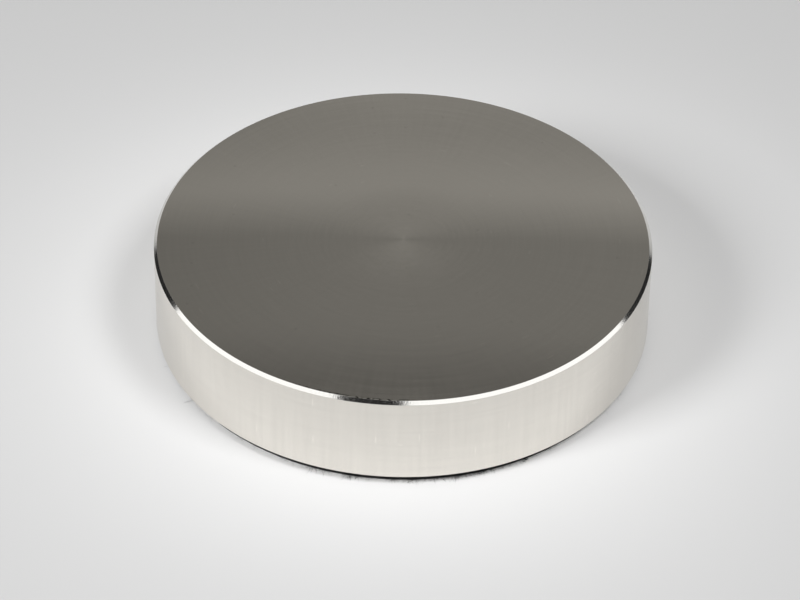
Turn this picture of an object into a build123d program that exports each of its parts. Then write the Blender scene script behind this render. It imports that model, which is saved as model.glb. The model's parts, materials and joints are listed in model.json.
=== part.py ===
"""Record weight: a turned steel disc with a blind bore for a turntable's spindle, glued on a felt pad.

The origin is on the spindle's axis, at the felt's underside, where the weight rests. +Z points up.
"""

import os

from build123d import *

# Driving dimensions, in millimetres

# Steel disc
body_diameter = 78.5
body_height = 15.0
top_chamfer = 0.5
bottom_edge_radius = 0.2

# Blind bore for the spindle, in the disc's underside
spindle_diameter = 7.2
spindle_clearance = 0.1
bore_roof = 3.0
bore_lead_in = 0.6

# Felt pad, set in from the disc's rim and clear of the bore's mouth
felt_thickness = 1.5
felt_inset = 1.3
felt_hole_margin = 1.5

# Places and radii that follow from them
body_radius = body_diameter / 2
body_bottom = felt_thickness
body_top = body_bottom + body_height
bore_radius = spindle_diameter / 2 + spindle_clearance
bore_mouth_radius = bore_radius + bore_lead_in
bore_top = body_top - bore_roof
felt_radius = body_radius - felt_inset
felt_hole_radius = bore_mouth_radius + felt_hole_margin


# Steel disc, turned from bar: its half section holds the flat-ended bore and the bore's lead-in
with BuildPart() as weight_body:
    with BuildSketch(Plane.XZ):
        with BuildLine():
            Polyline(
                (0, bore_top),
                (bore_radius, bore_top),
                (bore_radius, body_bottom + bore_lead_in),
                (bore_mouth_radius, body_bottom),
                (body_radius, body_bottom),
                (body_radius, body_top),
                (0, body_top),
                close=True,
            )
        make_face()
    revolve(axis=Axis.Z)

    # The top rim is chamfered and the bottom rim is rounded
    rims = weight_body.edges().filter_by(GeomType.CIRCLE)
    top_rim = rims.sort_by(Axis.Z)[-1]
    bottom_rim = rims.group_by(Axis.Z)[0].sort_by(SortBy.RADIUS)[-1]
    chamfer(top_rim, length=top_chamfer)
    fillet(bottom_rim, radius=bottom_edge_radius)

weight_body.part.label = "weight_body"


# Felt pad, punched as a flat ring: the spindle passes through its hole without touching the felt
with BuildPart() as felt_pad:
    with BuildSketch(Plane.XY):
        Circle(felt_radius)
        Circle(felt_hole_radius, mode=Mode.SUBTRACT)
    extrude(amount=felt_thickness)

felt_pad.part.label = "felt_pad"


os.makedirs("parts", exist_ok=True)
export_step(weight_body.part, "parts/weight_body.step")
export_step(felt_pad.part, "parts/felt_pad.step")
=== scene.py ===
"""Looks of the record weight: a finely turned steel disc on a black felt pad, under soft studio light."""

import json
import math
import random

import bpy
from mathutils import Matrix, Vector, noise


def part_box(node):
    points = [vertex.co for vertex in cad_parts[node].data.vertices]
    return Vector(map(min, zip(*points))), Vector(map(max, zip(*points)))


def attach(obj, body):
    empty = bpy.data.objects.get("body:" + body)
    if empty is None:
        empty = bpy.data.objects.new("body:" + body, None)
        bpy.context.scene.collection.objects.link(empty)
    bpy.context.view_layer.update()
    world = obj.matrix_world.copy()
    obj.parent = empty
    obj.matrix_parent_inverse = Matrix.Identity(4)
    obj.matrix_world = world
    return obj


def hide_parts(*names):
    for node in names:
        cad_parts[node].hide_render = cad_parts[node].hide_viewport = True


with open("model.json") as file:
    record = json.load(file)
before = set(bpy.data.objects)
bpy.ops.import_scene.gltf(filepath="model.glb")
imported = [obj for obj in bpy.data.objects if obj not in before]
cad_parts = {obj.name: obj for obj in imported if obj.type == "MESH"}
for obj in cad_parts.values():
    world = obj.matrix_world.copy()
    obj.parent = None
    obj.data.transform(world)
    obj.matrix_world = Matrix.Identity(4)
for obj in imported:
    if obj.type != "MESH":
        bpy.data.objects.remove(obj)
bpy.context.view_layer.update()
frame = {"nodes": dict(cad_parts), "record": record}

MM = 0.001
SEGMENTS = 512
SAME = 0.01 * MM
STEEL_NODE = "weight_body"
FELT_NODE = "felt_pad"


# Sizes read from the frame


def cad_points(node):
    """Radius from the spindle's axis and height of every vertex of a CAD node."""
    vertices = frame["nodes"][node].data.vertices
    return [(math.hypot(v.co.x, v.co.y), v.co.z) for v in vertices]


def radii_at(points, height):
    """The radii of the vertices at one height."""
    return [r for r, z in points if abs(z - height) < SAME]


def heights_at(points, radius):
    """The heights of the vertices at one radius."""
    return [z for r, z in points if abs(r - radius) < SAME]


steel_low, steel_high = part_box(STEEL_NODE)
_, felt_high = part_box(FELT_NODE)
steel_points = cad_points(STEEL_NODE)
felt_points = cad_points(FELT_NODE)
bore_mount = next(m for m in frame["record"]["mounts"] if m["name"] == "spindle_bore")

wall_radius = steel_high.x
top_z = steel_high.z
bottom_z = steel_low.z
face_radius = max(radii_at(steel_points, top_z))
wall_top_z = max(heights_at(steel_points, wall_radius))
lip_radius = wall_radius - max(radii_at(steel_points, bottom_z))
bore_radius = bore_mount["dims"]["r_mm"] * MM
mouth_radius = min(radii_at(steel_points, bottom_z))
bore_end_z = max(heights_at(steel_points, bore_radius))

felt_radius = felt_high.x
felt_hole_radius = min(r for r, z in felt_points)
felt_top_z = felt_high.z


# Meshes


def towards(azimuth, elevation):
    """The unit direction of an azimuth and an elevation in degrees. Azimuth 0 is on the camera's side."""
    a = math.radians(azimuth)
    e = math.radians(elevation)
    return Vector((math.sin(a) * math.cos(e), -math.cos(a) * math.cos(e), math.sin(e)))


def new_piece(name, vertices, faces, materials, face_materials):
    """A smooth-shaded mesh object that rides on the part's one body."""
    mesh = bpy.data.meshes.new(name)
    mesh.from_pydata(vertices, [], faces)
    for material in materials:
        mesh.materials.append(material)
    mesh.polygons.foreach_set("material_index", face_materials)
    mesh.polygons.foreach_set("use_smooth", [True] * len(faces))
    mesh.update()
    piece = bpy.data.objects.new(name, mesh)
    bpy.context.scene.collection.objects.link(piece)
    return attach(piece, "root")


def band_faces(upper, lower):
    """Faces between two rings of vertices, from the numbers of their first vertices."""
    faces = []
    for k in range(SEGMENTS):
        following = (k + 1) % SEGMENTS
        faces.append((upper + k, lower + k, lower + following, upper + following))
    return faces


def corner_arc(before, corner, after, radius, steps):
    """Points of an arc of this radius that rounds a corner of an outline."""
    to_before = (before - corner).normalized()
    to_after = (after - corner).normalized()
    half = to_before.angle(to_after) / 2
    back = radius / math.tan(half)
    centre = corner + (to_before + to_after).normalized() * (radius / math.sin(half))
    start = corner + to_before * back - centre
    end = corner + to_after * back - centre
    turn = start.angle(end)
    arc = []
    for i in range(steps + 1):
        share = i / steps
        mixed = start * math.sin((1 - share) * turn) + end * math.sin(share * turn)
        arc.append(centre + mixed / math.sin(turn))
    return arc


def turned_outline(corners, zones, radii, spacing):
    """Rings (radius, height, zone) of a turned outline with rounded corners.

    zones[i] names the run from corner i to corner i + 1. Each run has a ring close to both of its ends,
    which keeps its shading straight, and more rings no further apart than spacing.
    """
    hold = 0.02 * MM
    arc_steps = 5
    arcs = [[corners[0]]]
    for i in range(1, len(corners) - 1):
        arcs.append(corner_arc(corners[i - 1], corners[i], corners[i + 1], radii[i - 1], arc_steps))
    arcs.append([corners[-1]])
    rings = []
    for i, zone in enumerate(zones):
        start = arcs[i][-1]
        end = arcs[i + 1][0]
        along = end - start
        count = max(1, math.ceil(along.length / spacing))
        stations = [0, hold]
        stations += [along.length * k / count for k in range(1, count)]
        stations += [along.length - hold]
        rings += [(*(start + along.normalized() * s), zone) for s in stations]
        rings += [(*p, zone) for p in arcs[i + 1][: arc_steps]]
    rings.append((*corners[-1], zones[-1]))
    return rings


def revolve_rings(rings):
    """Vertices, faces and each face's zone of rings (radius, height, zone) turned about Z.

    The first and the last ring are poles on the axis.
    """
    turns = [2 * math.pi * k / SEGMENTS for k in range(SEGMENTS)]
    circle = [(math.cos(t), math.sin(t)) for t in turns]
    vertices = [(0, 0, rings[0][1])]
    for radius, height, _ in rings[1:-1]:
        vertices += [(radius * c, radius * s, height) for c, s in circle]
    vertices.append((0, 0, rings[-1][1]))
    last = len(vertices) - 1
    last_ring = last - SEGMENTS
    faces = []
    face_zones = []
    for k in range(SEGMENTS):
        following = (k + 1) % SEGMENTS
        faces.append((0, 1 + k, 1 + following))
        faces.append((last_ring + k, last, last_ring + following))
        face_zones += [rings[0][2], rings[-2][2]]
    for i, (_, _, zone) in enumerate(rings[1:-2]):
        upper = 1 + i * SEGMENTS
        faces += band_faces(upper, upper + SEGMENTS)
        face_zones += [zone] * SEGMENTS
    return vertices, faces, face_zones


# Node trees


class Nodes:
    """A node tree under construction: short calls that add nodes and link them."""

    def __init__(self, tree):
        self.tree = tree

    def put(self, socket, value):
        """Feeds a socket from another node's output, or sets its value."""
        if isinstance(value, bpy.types.NodeSocket):
            self.tree.links.new(value, socket)
        else:
            socket.default_value = value

    def node(self, kind, inputs, **settings):
        """Adds a node with its settings and its inputs, and returns it."""
        made = self.tree.nodes.new("ShaderNode" + kind)
        for name, value in settings.items():
            setattr(made, name, value)
        for key, value in inputs.items():
            self.put(made.inputs[key], value)
        return made

    def math(self, operation, *values):
        """The result of one Math node."""
        return self.node("Math", dict(enumerate(values)), operation=operation).outputs[0]

    def times(self, first, second):
        """Two values multiplied."""
        return self.math("MULTIPLY", first, second)

    def vector(self, operation, *values):
        """The Vector Math node of one operation."""
        return self.node("VectorMath", dict(enumerate(values)), operation=operation)

    def scaled(self, vector, scale):
        """A vector times a number."""
        return self.node("VectorMath", {0: vector, "Scale": scale}, operation="SCALE").outputs[0]

    def parts(self, vector):
        """The X, Y and Z of a vector."""
        return self.node("SeparateXYZ", {0: vector}).outputs

    def span(self, value, low, high):
        """A 0 to 1 value stretched from low to high."""
        return self.node("MapRange", {"Value": value, "To Min": low, "To Max": high}).outputs["Result"]

    def sharper(self, value, low, high):
        """A value stretched so that low becomes 0 and high becomes 1, and cut off past both."""
        inputs = {"Value": value, "From Min": low, "From Max": high}
        return self.node("MapRange", inputs).outputs["Result"]

    def step(self, value, low, high):
        """A smooth step from 0 at low to 1 at high."""
        inputs = {"Value": value, "From Min": low, "From Max": high}
        return self.node("MapRange", inputs, interpolation_type="SMOOTHSTEP").outputs["Result"]

    def between(self, value, low, high, soft):
        """1 from low to high, and 0 outside, with soft edges this wide."""
        started = self.step(value, low - soft / 2, low + soft / 2)
        ended = self.step(value, high - soft / 2, high + soft / 2)
        return self.math("SUBTRACT", started, ended)

    def blend(self, share, first, second):
        """A value between two values."""
        return self.node("Mix", {"Factor": share, "A": first, "B": second}).outputs["Result"]

    def mixed(self, share, first, second):
        """A colour between two colours with their fourth part, or between two outputs."""
        inputs = {"Factor": share, "A": first, "B": second}
        return self.node("Mix", inputs, data_type="RGBA").outputs["Result"]

    def tint(self, share, first, second):
        """A colour between two plain colours."""
        return self.mixed(share, (*first, 1), (*second, 1))

    def azimuth(self, x, y):
        """The azimuth of a direction in degrees, 0 on the camera's side."""
        return self.math("DEGREES", self.math("ARCTAN2", x, self.times(y, -1.0)))

    def grain(self, vector, detail=2.0, roughness=0.5):
        """Fractal noise, 0 to 1, one feature for each unit of the vector."""
        inputs = {"Vector": vector, "Scale": 1.0, "Detail": detail, "Roughness": roughness}
        return self.node("TexNoise", inputs).outputs["Fac"]


class Shader(Nodes):
    """A material under construction, with patterns laid out in millimetres about the part's axis."""

    def __init__(self, name):
        self.material = bpy.data.materials.new(name)
        self.material.use_nodes = True
        super().__init__(self.material.node_tree)

    def finished(self, inputs):
        """The material, with these inputs of its surface."""
        surface = self.tree.nodes["Principled BSDF"]
        for name, value in inputs.items():
            self.put(surface.inputs[name], value)
        return self.material

    def place(self):
        """The object's own coordinates, in millimetres."""
        coordinates = self.node("TexCoord", {}).outputs["Object"]
        return self.scaled(coordinates, 1 / MM)

    def around(self, place):
        """Radius, height and the two parts of the direction from the axis, for patterns round it."""
        parts = self.parts(place)
        flat = self.node("CombineXYZ", {0: parts["X"], 1: parts["Y"]}).outputs[0]
        radius = self.vector("LENGTH", flat).outputs["Value"]
        ways = self.parts(self.vector("NORMALIZE", flat).outputs[0])
        return radius, parts["Z"], ways["X"], ways["Y"]

    def bands(self, along, x, y, each_mm, round_it):
        """Coordinates whose noise is drawn out into rings.

        each_mm is how often it changes in a millimetre across the rings, and round_it how often round them.
        """
        inputs = {0: self.times(along, each_mm), 1: self.times(x, round_it), 2: self.times(y, round_it)}
        return self.node("CombineXYZ", inputs).outputs[0]

    def bump(self, height, depth_mm, normal=None):
        """A bumped normal, with the height's full range this deep."""
        inputs = {"Height": height, "Strength": 1.0, "Distance": depth_mm * MM}
        if normal is not None:
            inputs["Normal"] = normal
        return self.node("Bump", inputs).outputs["Normal"]

    def scattered(self, across, along, size, share):
        """Dots, 0 to 1, in this share of a random flat pattern's cells. Size is their radius in cells."""
        place = self.node("CombineXYZ", {0: across, 1: along}).outputs[0]
        cells = self.node("TexVoronoi", {"Vector": place, "Scale": 1.0}, voronoi_dimensions="2D")
        lot = self.node("SeparateColor", {0: cells.outputs["Color"]}).outputs[0]
        dot = self.sharper(cells.outputs["Distance"], size, size / 2)
        return self.times(dot, self.math("LESS_THAN", lot, share))

    def marked(self, colour, marks, strength):
        """A colour that is lighter at the marks by this share, or darker where the strength is negative."""
        return self.scaled(colour, self.math("MULTIPLY_ADD", marks, strength, 1.0))


# Marks of use


def face_marks(shader, place, colour):
    """A colour with a face's marks of use: small dark specks, and short pale scratches round the axis."""
    specks_each_mm = 0.18
    scratches_each_mm = 0.5
    scratches_each_radian = 3.5
    radius, _, x, y = shader.around(place)
    spots = shader.parts(shader.scaled(place, specks_each_mm))
    specks = shader.scattered(spots["X"], spots["Y"], size=0.055, share=0.15)
    across = shader.times(radius, scratches_each_mm)
    along = shader.times(shader.math("ARCTAN2", y, x), scratches_each_radian)
    scratches = shader.scattered(across, along, size=0.1, share=0.1)
    return shader.marked(shader.marked(colour, specks, -0.06), scratches, 0.05)


def rim_chips(shader, across, x, y, size, share):
    """Small chips, 0 to 1, on the stretch of the top's rim that is chipped. across is in millimetres."""
    chips_each_mm = 4.2
    chipped_from = -24.0
    chipped_to = 2.0
    azimuth = shader.azimuth(x, y)
    along = shader.times(azimuth, math.radians(wall_radius / MM * chips_each_mm))
    chips = shader.scattered(along, shader.times(across, chips_each_mm), size, share)
    return shader.times(chips, shader.between(azimuth, chipped_from, chipped_to, soft=6.0))


def top_marks(shader, place, colour):
    """A colour with a face's marks of use, and with dark patches, nine tenths darker, within 0.3 mm of the
    top's rim on one stretch of it.
    """
    reach_mm = 0.3
    radius, _, x, y = shader.around(place)
    rim = shader.math("GREATER_THAN", radius, face_radius / MM - reach_mm)
    dark_rim_patches = shader.times(rim, rim_chips(shader, radius, x, y, size=0.75, share=0.5))
    # Dark patches, nine tenths darker, within 0.3 mm of the rim on the stretch from -24 to 2 degrees of
    # azimuth.
    return shader.marked(face_marks(shader, place, colour), dark_rim_patches, -0.9)


def wall_marks(shader, place, colour):
    """A colour with the wall's marks of use: thin pale scratches, most of them upright."""
    upright_each_radian = 36.0
    upright_each_mm = 0.1
    level_each_radian = 7.0
    level_each_mm = 0.9
    strength = 0.13
    _, height, x, y = shader.around(place)
    turn = shader.math("ARCTAN2", y, x)
    across = shader.times(turn, upright_each_radian)
    upright = shader.scattered(across, shader.times(height, upright_each_mm), size=0.1, share=0.14)
    along = shader.times(turn, level_each_radian)
    level = shader.scattered(along, shader.times(height, level_each_mm), size=0.1, share=0.05)
    return shader.marked(shader.marked(colour, upright, strength), level, strength)


# Materials

STEEL = (0.82, 0.79, 0.735)
FRESH_CUT = (0.9, 0.885, 0.85)


def steel_tone(shader, share, spread, steel=STEEL):
    """The steel's colour, lighter and darker by up to this spread."""
    darker = [part * (1 - spread) for part in steel]
    lighter = [part * (1 + spread) for part in steel]
    return shader.tint(share, darker, lighter)


def turned_steel(name, across, marks, spread, streaky, roughness, anisotropy, line_depth_mm, wave_depth_mm,
                 centre_roughness=0.0, centre_depth_mm=0.0):
    """Bright steel with tool marks round the axis, which follow each other across its radius or its height.

    marks adds the marks of use to the colour. spread is how much the colour varies, and streaky the share
    of that which runs across the tool marks. The centre's roughness and groove depth are added at the
    middle of a face, where the tool ran slowest.
    """
    slow_from_mm = 14.0
    slowest_mm = 2.0
    clouds_each_mm = 0.13
    cloudy = 0.5
    quarter_turn = 0.25
    shader = Shader(name)
    place = shader.place()
    radius, height, x, y = shader.around(place)
    along = radius if across == "radius" else height
    lines = shader.grain(shader.bands(along, x, y, each_mm=7.0, round_it=0.8), detail=3.0, roughness=0.65)
    waves = shader.grain(shader.bands(along, x, y, each_mm=0.7, round_it=0.5), detail=1.0)
    rings = shader.grain(shader.bands(along, x, y, each_mm=1.6, round_it=2.2), detail=3.0, roughness=0.7)
    streaks = shader.grain(shader.bands(along, x, y, each_mm=0.05, round_it=45.0), roughness=0.6)
    cloud = shader.grain(shader.scaled(place, clouds_each_mm), detail=3.0)
    tone = shader.sharper(shader.blend(streaky, rings, streaks), 0.35, 0.65)
    worn = shader.span(shader.blend(cloudy, tone, cloud), *roughness)
    slow = shader.sharper(radius, slow_from_mm, slowest_mm)
    grooves = shader.times(lines, shader.math("MULTIPLY_ADD", slow, centre_depth_mm, line_depth_mm))
    return shader.finished({
        "Base Color": marks(shader, place, steel_tone(shader, tone, spread)),
        "Metallic": 1.0,
        "Roughness": shader.math("MULTIPLY_ADD", slow, centre_roughness, worn),
        "Anisotropic": anisotropy,
        "Anisotropic Rotation": quarter_turn,
        "Tangent": shader.node("Tangent", {}, direction_type="RADIAL", axis="Z").outputs[0],
        "Normal": shader.bump(grooves, 1.0, shader.bump(waves, wave_depth_mm)),
    })


def steel_top():
    """The top: turned so finely that it mirrors the room, and a little rougher towards the middle."""
    return turned_steel("steel_top", "radius", top_marks, spread=0.018, streaky=0.35,
                        roughness=(0.022, 0.036), anisotropy=1.0, line_depth_mm=0.00002,
                        wave_depth_mm=0.00005, centre_roughness=0.034, centre_depth_mm=0.001)


def steel_wall():
    """The wall: satin steel, less finely turned than the top."""
    return turned_steel("steel_wall", "height", wall_marks, spread=0.045, streaky=0.5,
                        roughness=(0.14, 0.19), anisotropy=1.0, line_depth_mm=0.0003, wave_depth_mm=0.0002)


def steel_underside():
    """The underside and the bore: duller and more coarsely turned."""
    return turned_steel("steel_underside", "radius", face_marks, spread=0.05, streaky=0.3,
                        roughness=(0.25, 0.38), anisotropy=0.6, line_depth_mm=0.002, wave_depth_mm=0.001)


def steel_chamfer():
    """The chamfer's bright cut, with the tool's fine chatter marks across it and a few dull chips."""
    chatter_depth_mm = 0.007
    chip_roughness = 0.04
    polish = (0.06, 0.14)
    shader = Shader("steel_chamfer")
    _, height, x, y = shader.around(shader.place())
    ridges = shader.bands(height, x, y, each_mm=2.0, round_it=110.0)
    chatter = shader.grain(ridges, detail=3.0, roughness=0.6)
    tone = shader.grain(shader.bands(height, x, y, each_mm=4.0, round_it=5.0), detail=3.0)
    chips = rim_chips(shader, height, x, y, size=0.5, share=0.35)
    return shader.finished({
        "Base Color": steel_tone(shader, tone, spread=0.05, steel=FRESH_CUT),
        "Metallic": 1.0,
        "Roughness": shader.math("MULTIPLY_ADD", chips, chip_roughness, shader.span(tone, *polish)),
        "Normal": shader.bump(chatter, chatter_depth_mm),
    })


def black_felt():
    """Pressed black wool: matted fibres in patches of darker and lighter wool, with painted shade that
    darkens the hollows between the fibres.
    """
    hollow_painted_shade = (0.006, 0.006, 0.0065)
    raised = (0.034, 0.034, 0.036)
    matted_each_mm = 3.5
    patches_each_mm = 0.25
    matted_depth_mm = 0.25
    shader = Shader("black_felt")
    place = shader.place()
    matted = shader.grain(shader.scaled(place, matted_each_mm), detail=6.0, roughness=0.7)
    patches = shader.grain(shader.scaled(place, patches_each_mm))
    return shader.finished({
        # Painted shade: the colour is darkest where the matted bump is lowest.
        "Base Color": shader.tint(shader.times(matted, patches), hollow_painted_shade, raised),
        "Roughness": shader.span(matted, 0.85, 1.0),
        "Specular IOR Level": 0.2,
        "Sheen Weight": 0.15,
        "Sheen Roughness": 0.5,
        "Normal": shader.bump(matted, matted_depth_mm),
    })


def floor_with_painted_light_pool():
    """A studio floor with a painted pool of light: its colour is lightest under and round the object and
    falls off to a darker grey further out.
    """
    painted_pool_grey = (0.91, 0.91, 0.91)
    grey_outside_painted_pool = (0.57, 0.57, 0.57)
    painted_pool_fall_off_mm = 22.0
    shader = Shader("floor_with_painted_light_pool")
    radius, *_ = shader.around(shader.place())
    # Painted pool of light: the floor's colour darkens with distance past the steel's wall.
    inside_rim = shader.math("SUBTRACT", wall_radius / MM, radius)
    outside = shader.math("MINIMUM", inside_rim, 0.0)
    near = shader.math("EXPONENT", shader.math("DIVIDE", outside, painted_pool_fall_off_mm))
    return shader.finished({
        "Base Color": shader.tint(near, grey_outside_painted_pool, painted_pool_grey),
        "Roughness": 0.9,
        "Specular IOR Level": 0.1,
    })


# Steel disc

TOP, CHAMFER, WALL, UNDERSIDE = range(4)


def turned_disc():
    """The steel disc as one turned surface, from the top's centre to the blind end of the bore."""
    corners = [
        Vector((0, top_z)),
        Vector((face_radius, top_z)),
        Vector((wall_radius, wall_top_z)),
        Vector((wall_radius, bottom_z)),
        Vector((mouth_radius, bottom_z)),
        Vector((bore_radius, bottom_z + mouth_radius - bore_radius)),
        Vector((bore_radius, bore_end_z)),
        Vector((0, bore_end_z)),
    ]
    zones = [TOP, CHAMFER, WALL, UNDERSIDE, UNDERSIDE, UNDERSIDE, UNDERSIDE]
    broken_edge = 0.02 * MM
    radii = [broken_edge, broken_edge, lip_radius, broken_edge, broken_edge, broken_edge]
    rings = turned_outline(corners, zones, radii, spacing=2.0 * MM)
    vertices, faces, face_zones = revolve_rings(rings)
    materials = [steel_top(), steel_chamfer(), steel_wall(), steel_underside()]
    disc = new_piece("turned_disc", vertices, faces, materials, face_zones)
    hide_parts(STEEL_NODE)
    return disc


# Felt pad


def felt_outline():
    """Rings (radius, height) of the felt, from the hole's top outward, down the rim and back underneath."""
    edge_round = 0.06 * MM
    flare = 0.2 * MM
    flat_rings = 36
    wall_rings = 6
    across = felt_radius - felt_hole_radius
    top = [(felt_hole_radius + across * k / flat_rings, felt_top_z) for k in range(flat_rings)]
    rim = []
    for k in range(wall_rings):
        share = k / wall_rings
        rim.append((felt_radius + flare * share, felt_top_z + (edge_round - felt_top_z) * share))
    low_radius = felt_radius + flare
    bottom = [(low_radius, edge_round), (low_radius - edge_round, 0)]
    under = low_radius - felt_hole_radius - 2 * edge_round
    bottom += [(low_radius - edge_round - under * k / flat_rings, 0) for k in range(1, flat_rings + 1)]
    rise = felt_top_z - edge_round
    hole = [(felt_hole_radius, edge_round + rise * k / wall_rings) for k in range(wall_rings)]
    return top + rim + bottom + hole


def uneven(spot, coarse, fine, fine_share):
    """Smooth noise at a spot, with a share of finer noise. coarse and fine are features a millimetre."""
    return noise.noise(spot * coarse) + fine_share * noise.noise(spot * fine)


def felt_ring(material):
    """The felt as a soft ring: flat against the steel, with an uneven cut edge and a matted underside."""
    ragged = 0.05 * MM
    matted = 0.05 * MM
    lift = 0.3
    outline = felt_outline()
    vertices = []
    for radius, height in outline:
        at_edge = radius >= felt_radius or radius <= felt_hole_radius
        for k in range(SEGMENTS):
            turn = 2 * math.pi * k / SEGMENTS
            outward = Vector((math.cos(turn), math.sin(turn), 0))
            spot = (outward * radius + Vector((0, 0, height))) / MM
            place = spot * MM
            if at_edge:
                place += outward * ragged * uneven(spot, coarse=0.9, fine=2.7, fine_share=0.6)
            elif height == 0:
                place.z += matted * max(0.0, lift + uneven(spot, coarse=1.7, fine=4.1, fine_share=0.5))
            vertices.append(place)
    faces = []
    for i in range(len(outline)):
        faces += band_faces(i * SEGMENTS, (i + 1) % len(outline) * SEGMENTS)
    felt = new_piece("felt_ring", vertices, faces, [material], [0] * len(faces))
    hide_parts(FELT_NODE)
    return felt


# Loose fibres of the felt

FUZZ_SEED = 11
FUZZ_COUNT = 2600
# Tufts that came loose: azimuth and spread along the rim in degrees, reach in millimetres, number of fibres
TUFTS = [
    (-57.7, 0.2, 2.5, 4),
    (-11.0, 1.2, 1.5, 40),
    (-1.6, 0.3, 1.4, 24),
    (9.0, 0.8, 1.4, 20),
    (14.0, 1.2, 1.8, 40),
    (19.0, 1.2, 1.7, 40),
    (30.0, 0.3, 1.3, 45),
]


def fibre(root, way, length, thickness, chance):
    """Vertices and faces of one curled fibre: a thin three-sided tube that droops and tapers to its tip."""
    steps = 5
    sides = 3
    taper = 0.6
    curl = 0.5
    droop = 0.12
    straight_up = 1e-6
    vertices = []
    faces = []
    place = Vector(root)
    heading = way.normalized()
    for i in range(steps + 1):
        share = i / steps
        side = heading.cross(Vector((0, 0, 1)))
        side = side.normalized() if side.length > straight_up else Vector((1, 0, 0))
        lift = side.cross(heading).normalized()
        wide = thickness * (1 - taper * share)
        for k in range(sides):
            turn = 2 * math.pi * k / sides
            spot = place + (side * math.cos(turn) + lift * math.sin(turn)) * wide
            spot.z = max(spot.z, 0.0)
            vertices.append(spot)
        heading += Vector([chance.gauss(0, curl) for _ in range(3)])
        heading.z -= droop
        heading.normalize()
        place = place + heading * (length / steps)
        place.z = max(place.z, thickness)
    for i in range(steps):
        near = i * sides
        far = near + sides
        for k in range(sides):
            following = (k + 1) % sides
            faces.append((near + k, near + following, far + following, far + k))
    faces.append((2, 1, 0))
    faces.append(tuple(steps * sides + k for k in range(sides)))
    return vertices, faces


def fuzziness(outward):
    """The chance that a fibre stands out on this side of the rim: in clumps, and most at the front."""
    least = 0.06
    front_from = 0.8
    front_width = 0.12
    elsewhere = 0.4
    coarse = 1.1 * noise.noise(outward * 9.0)
    fine = 0.8 * noise.noise(outward * 31.0)
    clump = 0.35 + coarse + fine
    front = min(1.0, max(0.0, (-outward.y - front_from) / front_width))
    return max(least, clump) * (elsewhere + (1 - elsewhere) * front)


def loose_fibres(chance):
    """Fibres that stand out of the felt's cut rim."""
    root_depth = 0.15 * MM
    root_heights_mm = (0.05, 0.9)
    sideways_spread = 0.9
    droop = -0.25
    droop_spread = 0.3
    length_shape = 2.6
    length_scale_mm = 0.34
    longest_mm = 2.4
    thickness_mm = (0.011, 0.02)
    made = []
    while len(made) < FUZZ_COUNT:
        turn = chance.uniform(0, 2 * math.pi)
        outward = Vector((math.cos(turn), math.sin(turn), 0))
        if chance.random() > fuzziness(outward):
            continue
        root = outward * (felt_radius - root_depth)
        root.z = chance.uniform(*root_heights_mm) * MM
        sideways = Vector((-outward.y, outward.x, 0)) * chance.gauss(0, sideways_spread)
        way = outward + sideways + Vector((0, 0, chance.gauss(droop, droop_spread)))
        length = min(longest_mm, chance.gammavariate(length_shape, length_scale_mm)) * MM
        thickness = chance.uniform(*thickness_mm) * MM
        made.append(fibre(root, way, length, thickness, chance))
    return made


def tuft(azimuth, spread, reach_mm, count, chance):
    """Fibres that came loose together: they leave the rim side by side and tangle further out."""
    root_height = 0.4 * MM
    tangle = 0.3
    reached = (0.7, 1.1)
    thickness_mm = (0.014, 0.024)
    made = []
    for _ in range(count):
        outward = towards(chance.gauss(azimuth, spread), 0)
        root = outward * felt_radius
        root.z = root_height
        way = outward + Vector([chance.gauss(0, tangle) for _ in range(3)])
        length = reach_mm * chance.uniform(*reached) * MM
        thickness = chance.uniform(*thickness_mm) * MM
        made.append(fibre(root, way, length, thickness, chance))
    return made


def felt_fuzz(material):
    """The felt's loose fibres and tufts, as one piece."""
    chance = random.Random(FUZZ_SEED)
    fibres = loose_fibres(chance)
    for azimuth, spread, reach_mm, count in TUFTS:
        fibres += tuft(azimuth, spread, reach_mm, count, chance)
    vertices = []
    faces = []
    for points, sides in fibres:
        base = len(vertices)
        vertices += points
        faces += [tuple(base + k for k in side) for side in sides]
    fuzz = new_piece("felt_fuzz", vertices, faces, [material], [0] * len(faces))
    return fuzz


# Studio

LEFT = -56.0
RIGHT = 55.0
BEHIND = 180.0
CAMERA_ELEVATION = 39.494


def floor():
    """A wide level floor, just under the felt."""
    half = 3.0
    drop = -0.02 * MM
    mesh = bpy.data.meshes.new("floor")
    corners = [(-half, -half, drop), (half, -half, drop), (half, half, drop), (-half, half, drop)]
    mesh.from_pydata(corners, [], [(0, 1, 2, 3)])
    mesh.materials.append(floor_with_painted_light_pool())
    piece = bpy.data.objects.new("floor", mesh)
    bpy.context.scene.collection.objects.link(piece)


def softbox(name, azimuth, elevation, power):
    """A square soft lamp that faces the object from above. The steel doesn't mirror it."""
    distance = 0.9
    lamp = bpy.data.lights.new(name, "AREA")
    lamp.shape = "SQUARE"
    lamp.size = 0.3
    lamp.energy = power
    holder = bpy.data.objects.new(name, lamp)
    holder.visible_glossy = False
    holder.location = towards(azimuth, elevation) * distance
    holder.rotation_euler = towards(azimuth, elevation).to_track_quat("Z", "Y").to_euler()
    bpy.context.scene.collection.objects.link(holder)


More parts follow.
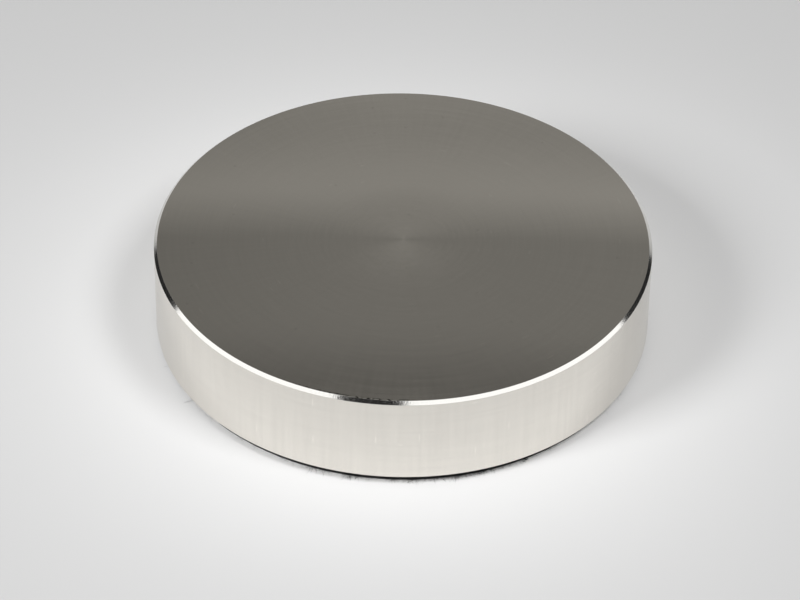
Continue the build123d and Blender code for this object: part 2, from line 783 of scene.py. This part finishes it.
class Sky(Nodes):
    """The studio's light under construction, laid out in degrees of azimuth and elevation."""

    def __init__(self, world):
        world.use_nodes = True
        super().__init__(world.node_tree)
        self.way = self.node("TexCoord", {}).outputs["Generated"]
        parts = self.parts(self.way)
        self.side = parts["X"]
        self.rise = self.elevation(self.way)
        self.turn = self.azimuth(parts["X"], parts["Y"])

    def elevation(self, way):
        """The elevation of a unit direction in degrees."""
        return self.math("DEGREES", self.math("ARCSINE", self.parts(way)["Z"]))

    def along(self, direction):
        """How far the sky's direction points along another one, from -1 to 1."""
        return self.vector("DOT_PRODUCT", self.way, direction).outputs["Value"]

    def away_from(self, direction, near, far):
        """0 up to the angle near from a direction, and 1 past the angle far."""
        return self.step(self.math("DEGREES", self.math("ARCCOSINE", self.along(direction))), near, far)

    def without(self, light, dark):
        """A light cut down by a mask of what stays dark."""
        return self.times(light, self.math("SUBTRACT", 1.0, dark))


def end_wall(sky):
    """The colour of the studio's end wall, which the top mirrors: soft level bands, darker to the left."""
    warm = (1.0, 0.98, 0.93)
    left_share = 0.8
    left_side = -0.1
    # Elevation in degrees and level
    levels = [(30.0, 0.25), (34.0, 0.45), (35.6, 0.29), (36.8, 0.22), (37.8, 0.29), (38.5, 0.18),
              (40.0, 0.18), (41.0, 0.09), (42.5, 0.5)]
    low = levels[0][0]
    high = levels[-1][0]
    ramp = sky.node("ValToRGB", {"Fac": sky.sharper(sky.rise, low, high)})
    stops = ramp.color_ramp.elements
    while len(stops) < len(levels):
        stops.new(1.0)
    for stop, (elevation, level) in zip(stops, levels):
        stop.position = (elevation - low) / (high - low)
        stop.color = (*(level * part for part in warm), 1)
    dimmed = sky.span(sky.step(sky.side, left_side, 0.0), left_share, 1.0)
    return sky.scaled(ramp.outputs["Color"], dimmed)


def arch_of_light(sky):
    """Where the arch stands, and its level: two bright spans over the camera with a dark gap between them.

    It stands where a face that tilts about 45 degrees outward mirrors it to the camera.
    """
    tilts = (41.0, 46.0)
    ends = (-111.0, 108.0)
    gap = (-31.0, 2.0)
    dark = 0.012
    bright = 1.15
    halfway = sky.vector("ADD", sky.way, towards(0, CAMERA_ELEVATION)).outputs[0]
    tilt = sky.elevation(sky.vector("NORMALIZE", halfway).outputs[0])
    ring = sky.between(tilt, *tilts, soft=2.0)
    spans = sky.without(sky.between(sky.turn, *ends, soft=2.5), sky.between(sky.turn, *gap, soft=2.5))
    return ring, sky.span(spans, dark, bright)


def banded_walls(sky):
    """The level of the room's walls: soft bands, 20 degrees apart, that climb a little round the room."""
    middle = 0.34
    swing = 0.13
    bands_up = 18.0
    bands_round = 2.0
    phase = sky.math("ADD", sky.times(sky.rise, bands_up), sky.times(sky.turn, bands_round))
    wave = sky.math("SINE", sky.math("RADIANS", phase))
    return sky.math("ADD", middle, sky.times(wave, swing))


def shaded_ceiling(sky):
    """The level of the ceiling, brightest on the left lamp's side."""
    dim = 0.25
    bright = 0.9
    soft = 0.16
    return sky.span(sky.step(sky.along(towards(LEFT, 0)), -soft, soft), dim, bright)


def studio_light():
    """A dim room with an arch of soft light over the camera and an end wall behind the object."""
    ceiling_from = 58.0
    ceiling_full = 72.0
    end_wall_elevation = 38.0
    world = bpy.data.worlds.new("studio")
    sky = Sky(world)
    overhead = sky.step(sky.rise, ceiling_from, ceiling_full)
    room = sky.blend(overhead, banded_walls(sky), shaded_ceiling(sky))
    ring, arch = arch_of_light(sky)
    level = sky.blend(ring, room, arch)
    beside_wall = sky.away_from(towards(BEHIND, end_wall_elevation), near=12.0, far=22.0)
    light = sky.mixed(beside_wall, end_wall(sky), level)
    sky.put(sky.tree.nodes["Background"].inputs["Color"], light)
    bpy.context.scene.world = world


def photo_camera():
    """The camera, at the photograph's viewing angle and framing."""
    roll = math.radians(0.896)
    distance = 0.60136
    lens_mm = 168.756
    aim_right = -0.309 * MM
    aim_up = 3.169 * MM
    back = towards(0, CAMERA_ELEVATION)
    level_right = Vector((1, 0, 0))
    level_up = back.cross(level_right)
    right = level_right * math.cos(roll) + level_up * math.sin(roll)
    up = level_up * math.cos(roll) - level_right * math.sin(roll)
    camera = bpy.data.objects.new("camera", bpy.data.cameras.new("camera"))
    camera.data.sensor_width = 36.0
    camera.data.lens = lens_mm
    camera.data.clip_start = 0.01
    camera.data.clip_end = 20.0
    turned = Matrix((right, up, back)).transposed().to_4x4()
    place = right * aim_right + up * aim_up + back * distance
    camera.matrix_world = Matrix.Translation(place) @ turned
    bpy.context.scene.collection.objects.link(camera)
    bpy.context.scene.camera = camera


# The scene

wool = black_felt()
disc = turned_disc()
felt = felt_ring(wool)
fuzz = felt_fuzz(wool)
floor()
studio_light()
softbox("left_softbox", LEFT, elevation=36, power=4.8)
softbox("right_softbox", RIGHT, elevation=58, power=2.9)
photo_camera()
bpy.context.scene.view_settings.view_transform = "Standard"
